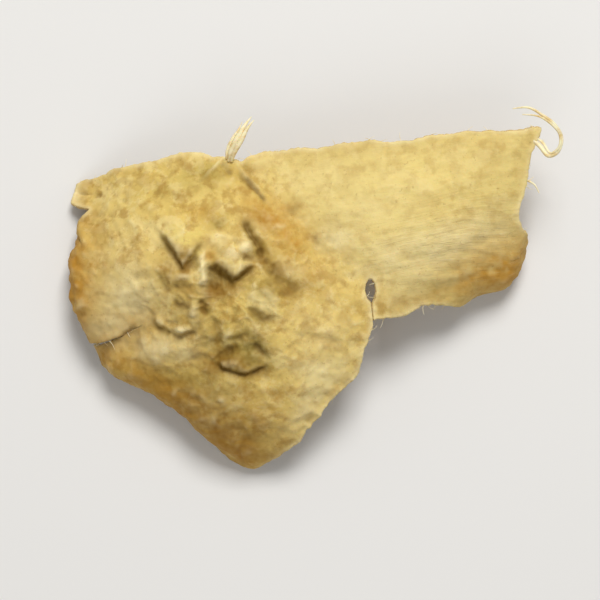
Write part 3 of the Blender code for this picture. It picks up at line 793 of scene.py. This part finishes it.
def masks_of(plan, hollow, from_edge, degrees):
    """The numbers from 0 to 1 that colour one side of the sheet."""
    # The golden, brown and pale patches hold painted shade and highlights as well as the skin's own colour
    masks = {name: patch(plan, name) for name in PATCHES}
    # Painted shade in the hollows of the surface
    masks["painted_hollow_shade"] = smooth_step(hollow, 0.01, 0.12)
    # Painted highlight on the skin's raised spots; on the inner side, painted shade in its hollows
    masks["skin_ridge_light_inner_hollow_shade"] = smooth_step(-hollow, 0.01, 0.12)
    masks["wing"] = wing_share(plan)
    uneven = 0.75 + 0.6 * noise_at(plan, 0.9, 35.1) + 0.4 * noise_at(plan, 0.22, 36.1)
    rim = np.clip(np.exp(-((from_edge / 0.13) ** 2)) * uneven, 0, 1)
    masks["rim"] = rim * (1 - smooth_step(degrees, 0, 40))
    # Painted shade where the rim turns under, away from the light
    masks["rolled_rim_shade"] = smooth_step(degrees, 20, 80) * np.exp(-from_edge / 0.9)
    masks["strand"] = inner_strands(plan)
    # Painted shadow along the flap edges and creases, with some of the skin's own darker colour
    masks["fold_shadow_and_stain"] = fold_shadows_and_stains(plan)
    return masks


# Building the flake


Side = namedtuple("Side", "plan triangles points normal masks")


def make_side(edge, points, rim, turn, height):
    """One side of the sheet, with its height above the middle of the sheet."""
    plan, triangles = fill(edge, points)
    middle, degrees = lay_out(plan, rim, turn)
    normal = vertex_normals(middle, triangles)
    from_edge = distance_to(plan, edge)
    level = height(plan, from_edge)
    hollow = blurred(level, triangles, HOLLOW_ROUNDS) - level
    masks = masks_of(plan, hollow, from_edge, degrees)
    return Side(plan, triangles, middle + normal * level[:, None], normal, masks)


def edge_rows(top, bottom, normal):
    """Rows of points down the torn edge, each a little uneven."""
    along = np.roll(top, -1, axis=0) - np.roll(top, 1, axis=0)
    out = unit(np.cross(normal, along))
    rows = []
    for k in range(EDGE_ROWS):
        share = (k + 1) / (EDGE_ROWS + 1)
        bulge = 0.04 * math.sin(math.pi * share)
        fray = 0.035 * noise_at(top[:, :2], 0.12, 40.0 + 1.3 * k)
        level = top * (1 - share) + bottom * share
        rows.append(level + out * (bulge + fray)[:, None])
    return rows


def bands(rings):
    """Triangles between one ring of point numbers and the next."""
    faces = []
    for upper, lower in zip(rings[:-1], rings[1:]):
        following_upper, following_lower = np.roll(upper, -1), np.roll(lower, -1)
        faces.append(np.stack([upper, following_upper, lower], axis=1))
        faces.append(np.stack([following_upper, following_lower, lower], axis=1))
    return np.concatenate(faces)


def make_flake(materials):
    """The flake as one fine closed mesh. Returns it with the points and normals of its torn edge."""
    rim, turn = sheet_rim(RIM_SIDE, RAGGED[:1])
    edge = cut_tears(sheet_rim(SKIN_MESH_SIDE, RAGGED)[0], SKIN_MESH_SIDE)
    low, high = edge.min(axis=0), edge.max(axis=0)
    skin = make_side(edge, skin_points(low, high), rim, turn, skin_height)
    inner = make_side(edge, grid_rows(low, high, INNER_MESH_SIDE), rim, turn, inner_height)
    ring, skin_count = len(edge), len(skin.plan)
    edge_normal = skin.normal[:ring]
    rows = edge_rows(skin.points[:ring], inner.points[:ring], edge_normal)
    points = set_down(np.concatenate([skin.points, inner.points, *rows]))
    top_loop = np.arange(ring)
    middle_loops = [skin_count + len(inner.plan) + k * ring + top_loop for k in range(EDGE_ROWS)]
    band = bands([top_loop, *middle_loops, top_loop + skin_count])
    faces = np.concatenate([skin.triangles, inner.triangles[:, ::-1] + skin_count, band])
    flake = mesh_object("peel_flake", points, faces, materials)
    slots = np.repeat([0, 1, 2], [len(skin.triangles), len(inner.triangles), len(band)])
    flake.data.polygons.foreach_set("material_index", slots.astype(np.int32))
    store_looks(flake, skin, inner, ring)
    return flake, points[:ring], edge_normal


def store_looks(flake, skin, inner, ring):
    """Stores what the materials read on the skin, the inner side and the rows of the torn edge."""

    def everywhere(on_skin, on_inner):
        return np.concatenate([on_skin, on_inner] + [on_skin[:ring]] * EDGE_ROWS)

    for name in skin.masks:
        store(flake, name, everywhere(skin.masks[name], inner.masks[name]), "FLOAT", "value")
    for name, grain in (("wing_grain", wing_grain), ("cap_grain", cap_grain)):
        rows = everywhere(grain(skin.plan), grain(inner.plan))
        store(flake, name, rows, "FLOAT_VECTOR", "vector")


def mesh_object(name, points, faces, materials):
    """A smooth-shaded mesh object from points in millimetres."""
    mesh = bpy.data.meshes.new(name)
    mesh.from_pydata((points * MM).tolist(), [], faces.tolist())
    for material in materials:
        mesh.materials.append(material)
    mesh.shade_smooth()
    made = bpy.data.objects.new(name, mesh)
    bpy.context.scene.collection.objects.link(made)
    return made


def store(obj, name, values, kind, key):
    """Stores values of one kind at each point, for the materials to read."""
    stored = obj.data.attributes.new(name, kind, "POINT")
    stored.data.foreach_set(key, values.astype(np.float32).ravel())


# Fibres


def tube(path, radii, sides):
    """Points and triangles of a thin closed tube along a curve, with a radius at each point."""
    along = unit(np.gradient(path, axis=0))
    across = np.cross(along[0], (0, 0, 1))
    points = []
    for i, centre in enumerate(path):
        across = across - along[i] * (across @ along[i])
        across /= np.linalg.norm(across)
        other = np.cross(along[i], across)
        for k in range(sides):
            angle = 2 * math.pi * k / sides
            points.append(centre + radii[i] * (math.cos(angle) * across + math.sin(angle) * other))
    rings = [np.arange(sides) + sides * i for i in range(len(path))]
    last = len(points)
    points += [path[0], path[-1]]
    start_fan = [(last, rings[0][k], rings[0][k - 1]) for k in range(sides)]
    end_fan = [(last + 1, rings[-1][k - 1], rings[-1][k]) for k in range(sides)]
    return np.array(points), np.concatenate([bands(rings), start_fan, end_fan])


def wander(start, heading, up, length, random):
    """A short curve from a start point that bends at random as it goes."""
    points = [start]
    step = length / 5
    side = np.cross(up, heading)
    bend, lift = random.uniform(-0.35, 0.35), random.uniform(-0.25, 0.3)
    for _ in range(5):
        heading = heading + bend * side + lift * up
        heading /= np.linalg.norm(heading)
        points.append(points[-1] + heading * step)
    return smooth_curve(points, 3)


def fray(i, edge, normal, random):
    """A short hair of the torn edge that starts at one of its points."""
    here, beside, up = edge[i], edge[(i + 3) % len(edge)], normal[i]
    out = np.cross(up, beside - here)
    out /= np.linalg.norm(out)
    along = np.cross(up, out)
    heading = out + along * random.uniform(-1.2, 1.2)
    heading /= np.linalg.norm(heading)
    start = here - up * random.uniform(0.04, 0.18) - out * 0.05
    length, radius = random.uniform(0.12, 0.55), random.uniform(0.010, 0.022)
    path = wander(start, heading, up, length, random)
    path[:, 2] = np.maximum(path[:, 2], 0.03)
    return tube(path, np.linspace(radius, 0.4 * radius, len(path)), 5)


def make_fibres(material, edge, normal):
    """All fibres as one mesh: the long loose ones, and the short hairs of the torn edge."""
    tubes = []
    for rows in LOOSE_FIBRES:
        curve = smooth_curve(rows, 8)
        tubes.append(tube(curve[:, :3], curve[:, 3], 8))
    random = np.random.default_rng(FRAY_SEED)
    for i in random.choice(len(edge), FRAY_COUNT, replace=False):
        tubes.append(fray(i, edge, normal, random))
    points, faces, count = [], [], 0
    for tube_points, tube_faces in tubes:
        points.append(tube_points)
        faces.append(tube_faces + count)
        count += len(tube_points)
    return mesh_object("edge_fibres", np.concatenate(points), np.concatenate(faces), [material])


# Materials


class Value:
    """A number in a material's nodes, so that shader maths reads as Python."""

    def __init__(self, nodes, socket):
        self.nodes = nodes
        self.socket = socket

    def math(self, operation, first, second, clamp=False):
        """A Math node on two values."""
        settings = {"operation": operation, "use_clamp": clamp}
        return self.nodes.make("ShaderNodeMath", settings, {0: first, 1: second})

    def __add__(self, other):
        return self.math("ADD", self, other)

    def __sub__(self, other):
        return self.math("SUBTRACT", self, other)

    def __rsub__(self, other):
        return self.math("SUBTRACT", other, self)

    def __mul__(self, other):
        return self.math("MULTIPLY", self, other)

    __radd__ = __add__
    __rmul__ = __mul__

    def between(self, low, high):
        """0 below low, 1 above high, and a smooth rise between."""
        settings = {"interpolation_type": "SMOOTHSTEP"}
        values = {"Value": self, "From Min": low, "From Max": high}
        return self.nodes.make("ShaderNodeMapRange", settings, values)

    def clamped(self):
        """The value, kept from 0 to 1."""
        return self.math("ADD", self, 0.0, clamp=True)


class Nodes:
    """The nodes of one material."""

    def __init__(self, name):
        self.material = bpy.data.materials.new(name)
        self.material.use_nodes = True
        self.tree = self.material.node_tree
        self.shader = self.tree.nodes["Principled BSDF"]

    def make(self, kind, settings, values, output=0):
        """A node of one kind with its settings, then the values or links of its sockets."""
        node = self.tree.nodes.new(kind)
        for name, setting in settings.items():
            setattr(node, name, setting)
        self.fill(node, values)
        return Value(self, node.outputs[output])

    def fill(self, node, values):
        """Links or sets the sockets of a node."""
        for name, value in values.items():
            if isinstance(value, Value):
                self.tree.links.new(value.socket, node.inputs[name])
            else:
                node.inputs[name].default_value = value

    def number(self, name):
        """A number stored on the mesh."""
        return self.make("ShaderNodeAttribute", {"attribute_name": name}, {}, "Fac")

    def place(self):
        """Where a point is on the object, in metres."""
        return self.make("ShaderNodeTexCoord", {}, {}, "Object")

    def stretched(self, vector, scale):
        """A vector scaled along each axis."""
        return self.make("ShaderNodeVectorMath", {"operation": "MULTIPLY"}, {0: vector, 1: scale})

    def noise(self, vector, scale, detail, roughness, distortion=0.0):
        """Noise from 0 to 1."""
        names = ("Vector", "Scale", "Detail", "Roughness", "Distortion")
        values = dict(zip(names, (vector, scale, detail, roughness, distortion)))
        return self.make("ShaderNodeTexNoise", {}, values, "Fac")

    def along(self, grain, scale, detail, roughness):
        """Noise from 0 to 1 that follows one of the grains stored on the mesh."""
        stored = self.make("ShaderNodeAttribute", {"attribute_name": grain}, {}, "Vector")
        return self.noise(self.stretched(stored, scale), 1.0, detail, roughness)

    def mix(self, factor, first, second):
        """A colour between two others, each a link or 0 to 255 values."""
        first, second = (c if isinstance(c, Value) else colour(*c) for c in (first, second))
        return self.make("ShaderNodeMix", {"data_type": "RGBA"}, {0: factor, 6: first, 7: second}, 2)

    def bump(self, height, distance):
        """The normal of a surface with a fine height on it."""
        return self.make("ShaderNodeBump", {}, {"Height": height, "Distance": distance, "Strength": 1.0})

    def finish(self, base, roughness, gloss, glow=(), normal=None):
        """Sets the sockets of the shader, and gives the material."""
        values = {"Base Color": base, "Roughness": roughness, "Specular IOR Level": gloss}
        values.update(zip(GLOW_SOCKETS, glow))
        if normal is not None:
            values["Normal"] = normal
        self.fill(self.shader, values)
        return self.material


def colour(red, green, blue):
    """A colour from 0 to 255 values as a picture shows them, for a node's socket."""
    levels = [c / 255 for c in (red, green, blue)]
    return [c / 12.92 if c <= 0.04045 else ((c + 0.055) / 1.055) ** 2.4 for c in levels] + [1.0]


def skin_material():
    """Dry papery skin: straw and buff, with streaks, specks and flakes, painted shade in its creases and
    along its folds, and painted highlights on its raised spots.
    """
    n = Nodes("dry_skin")
    place, wing, streaky = n.place(), n.number("wing"), n.number("streaky")
    streaks = n.along("wing_grain", (0.9, 5.5, 1.0), 4.0, 0.62)
    hairlines = n.along("wing_grain", (1.6, 17.0, 1.0), 2.0, 0.5)
    rings = n.along("cap_grain", (4.0, 4.0, 3.0), 4.0, 0.65)
    grain = rings * (1 - wing) + streaks * wing
    clouds = n.noise(place, 420.0, 4.0, 0.62)
    mottle = n.noise(place, 1700.0, 5.0, 0.58)
    blotches = n.noise(place, 1150.0, 3.0, 0.50, 0.3)
    film = n.noise(place, 950.0, 6.0, 0.70, 0.4)
    specks = n.noise(place, 7000.0, 2.0, 0.5)
    flakes = n.make("ShaderNodeTexVoronoi", {}, {"Vector": place, "Scale": 3600.0}, "Distance")

    # The wing's paler straw is partly its own colour and partly painted light, as the wing faces up
    skin = n.mix(wing, (222, 192, 108), (228, 204, 128))
    skin = n.mix(n.number("yellow") * 0.70, skin, (230, 206, 104))
    skin = n.mix(n.number("grey") * 0.70, skin, (208, 188, 138))
    skin = n.mix(grain.between(0.42, 0.70) * (0.14 + 0.30 * streaky), skin, (186, 148, 70))
    skin = n.mix(clouds.between(0.45, 0.72) * (0.50 - 0.18 * wing), skin, (238, 215, 140))
    skin = n.mix(film.between(0.50, 0.56) * (0.42 - 0.15 * wing), skin, (236, 214, 148))
    skin = n.mix(blotches.between(0.47, 0.63) * (0.44 - 0.24 * wing), skin, (182, 146, 76))
    skin = n.mix(mottle.between(0.48, 0.66) * (0.64 - 0.34 * wing), skin, (176, 136, 60))
    # Pale patches: partly the skin's own paler colour, partly painted highlights on raised lobes, ridges
    # and fibre strands
    skin = n.mix(n.number("pale") * 0.80, skin, (244, 226, 166))
    # Golden patches: partly the skin's own colour, partly painted shade where the sheet turns down
    skin = n.mix(n.number("golden_and_shade") * 0.85, skin, (192, 136, 36))
    skin = n.mix(n.number("olive") * 0.80, skin, (140, 122, 48))
    # Brown patches: partly the skin's own colour, partly painted shadow under the flap edges, at the pit
    # and on the lower cap
    skin = n.mix(n.number("brown_and_shade") * 0.80, skin, (138, 96, 26))
    # Painted shade on the rim where it turns under
    skin = n.mix(n.number("rolled_rim_shade") * 0.60, skin, (154, 104, 26))
    # Painted highlight on raised spots
    skin = n.mix(n.number("skin_ridge_light_inner_hollow_shade") * (0.42 - 0.36 * n.number("olive")), skin, (250, 234, 182))
    # Painted shadow along the flap edges and creases, partly the skin's own darker colour
    skin = n.mix(n.number("fold_shadow_and_stain") * 0.85, skin, (104, 74, 2))
    # Painted shade in the hollows
    skin = n.mix(n.number("painted_hollow_shade") * 0.46, skin, (96, 66, 10))
    skin = n.mix(specks.between(0.64, 0.74) * 0.25, skin, (140, 98, 40))
    skin = n.mix(hairlines.between(0.60, 0.75) * wing * (0.06 + 0.22 * streaky), skin, (248, 234, 186))
    skin = n.mix(n.number("rim") * 0.55, skin, (248, 230, 176))

    pores = n.noise(place, 14000.0, 2.0, 0.6)
    lines = grain * (0.25 + 0.35 * streaky) + hairlines * wing * (0.12 + 0.30 * streaky)
    height = lines + mottle * 0.50 + film * 0.30 + pores * 0.16 + flakes * 0.12
    roughness = (0.54 + 0.26 * mottle).clamped()
    return n.finish(skin, roughness, 0.16, FLESH_GLOW, n.bump(height, SKIN_BUMP))


def inner_material():
    """The inner side: a film of dried flesh, darker than the skin, with paler fibres in it and painted
    shade in its hollows.
    """
    n = Nodes("dried_flesh")
    place = n.place()
    grains = n.noise(place, 5200.0, 3.0, 0.65)
    clouds = n.noise(place, 700.0, 4.0, 0.6)
    threads = n.along("wing_grain", (0.8, 9.0, 1.0), 3.0, 0.55)
    flesh = n.mix(clouds.between(0.35, 0.70), (176, 140, 70), (140, 106, 48))
    flesh = n.mix(grains.between(0.50, 0.75) * 0.60, flesh, (206, 174, 104))
    flesh = n.mix(threads.between(0.55, 0.72) * 0.45, flesh, (204, 172, 108))
    flesh = n.mix(n.number("strand") * 0.65, flesh, (214, 186, 122))
    # Painted shade in the hollows of the inner side
    flesh = n.mix(n.number("skin_ridge_light_inner_hollow_shade") * 0.45, flesh, (96, 68, 24))
    flesh = n.mix(n.number("rim") * 0.55, flesh, (226, 200, 138))
    height = grains * 0.7 + threads * 0.5
    roughness = (0.70 + 0.15 * grains).clamped()
    return n.finish(flesh, roughness, 0.25, FLESH_GLOW, n.bump(height, SKIN_BUMP))


def torn_material():
    """The torn edge: pale dry fibres seen end on and in strands."""
    n = Nodes("torn_edge")
    fibres = n.noise(n.stretched(n.place(), (1.0, 1.0, 2.2)), 11000.0, 3.0, 0.6)
    torn = n.mix(fibres.between(0.30, 0.70), (192, 158, 94), (228, 206, 150))
    return n.finish(torn, 0.8, 0.2, EDGE_GLOW, n.bump(fibres, EDGE_BUMP))


def fibre_material():
    """Pale dry fibres with a slight silky gloss."""
    n = Nodes("dry_fibre")
    streaks = n.noise(n.place(), 2600.0, 3.0, 0.6)
    fibre = n.mix(streaks.between(0.40, 0.75), (250, 236, 192), (220, 186, 118))
    return n.finish(fibre, (0.40 + 0.2 * streaks).clamped(), 0.45, FIBRE_GLOW)


def floor_material():
    """A plain pale floor."""
    return Nodes("pale_floor").finish(colour(232, 230, 226), 0.9, 0.1)


# Floor, lights and camera


def make_floor():
    """A square floor under the flake."""
    half = FLOOR_SIDE / MM / 2
    corners = np.array([(-half, -half, 0), (half, -half, 0), (half, half, 0), (-half, half, 0)], float)
    faces = np.array([(0, 1, 2), (0, 2, 3)])
    floor = mesh_object("studio_floor", corners, faces, [floor_material()])


def area_light(name, place, side, power):
    """A square soft light, pointed at the flake."""
    data = bpy.data.lights.new(name, "AREA")
    data.size = side
    data.energy = power
    light = bpy.data.objects.new(name, data)
    light.location = place
    light.rotation_euler = (-Vector(place)).to_track_quat("-Z", "Y").to_euler()
    bpy.context.scene.collection.objects.link(light)


def light_the_scene():
    """Soft studio light, most of it from the top of the picture."""
    area_light("key_light", *KEY_LIGHT)
    area_light("fill_light", *FILL_LIGHT)
    world = bpy.data.worlds.new("studio")
    bpy.context.scene.world = world
    world.use_nodes = True
    background = world.node_tree.nodes["Background"]
    background.inputs["Color"].default_value = (1.0, 1.0, 1.0, 1.0)
    background.inputs["Strength"].default_value = ROOM_LIGHT
    bpy.context.scene.view_settings.view_transform = "Standard"


def make_camera():
    """Looks straight down at the flake, as the photograph does."""
    data = bpy.data.cameras.new("camera")
    data.lens = LENS
    data.clip_start = 0.005
    data.clip_end = 5.0
    camera = bpy.data.objects.new("camera", data)
    camera.location = (0, 0, CAMERA_HEIGHT)
    bpy.context.scene.collection.objects.link(camera)
    bpy.context.scene.camera = camera


def main():
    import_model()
    flake, edge, edge_normal = make_flake([skin_material(), inner_material(), torn_material()])
    fibres = make_fibres(fibre_material(), edge, edge_normal)
    for piece in (flake, fibres):
        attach(piece, "root")
    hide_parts(NODE)
    make_floor()
    light_the_scene()
    make_camera()


main()
